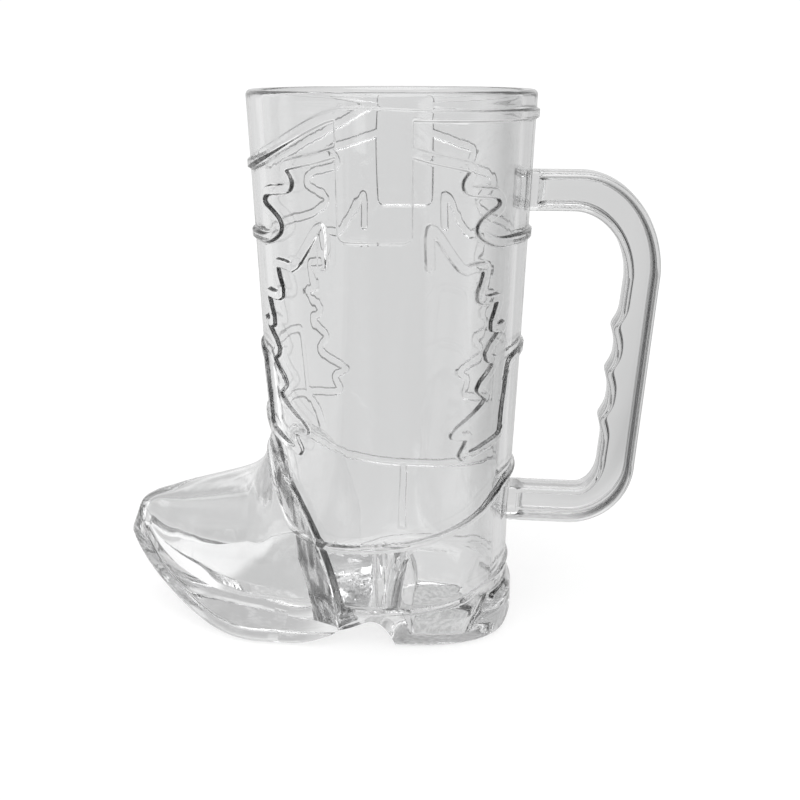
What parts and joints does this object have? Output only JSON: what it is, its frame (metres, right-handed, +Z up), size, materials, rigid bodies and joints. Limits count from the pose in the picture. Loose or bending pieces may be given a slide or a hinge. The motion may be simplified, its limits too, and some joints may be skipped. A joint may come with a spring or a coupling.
{
  "type": "boot mug",
  "caption": "Clear plastic drinking mug shaped like a western boot, with a tapered shaft cup, a hollow toe, a heel and a D-shaped handle with a finger grip.",
  "frame": {"origin": "middle of the footprint box, on the floor", "axes": "+Z up to the mouth, +X towards the handle, the toe towards -X, mirror plane at Y = 0"},
  "size_m": [0.1648, 0.0836, 0.165],
  "materials": {
    "clear_plastic": "clear gloss moulding"
  },
  "bodies": {
    "root": {"shaft_cup": "clear_plastic", "toe_shell": "clear_plastic", "handle": "clear_plastic"}
  },
  "joints": []
}
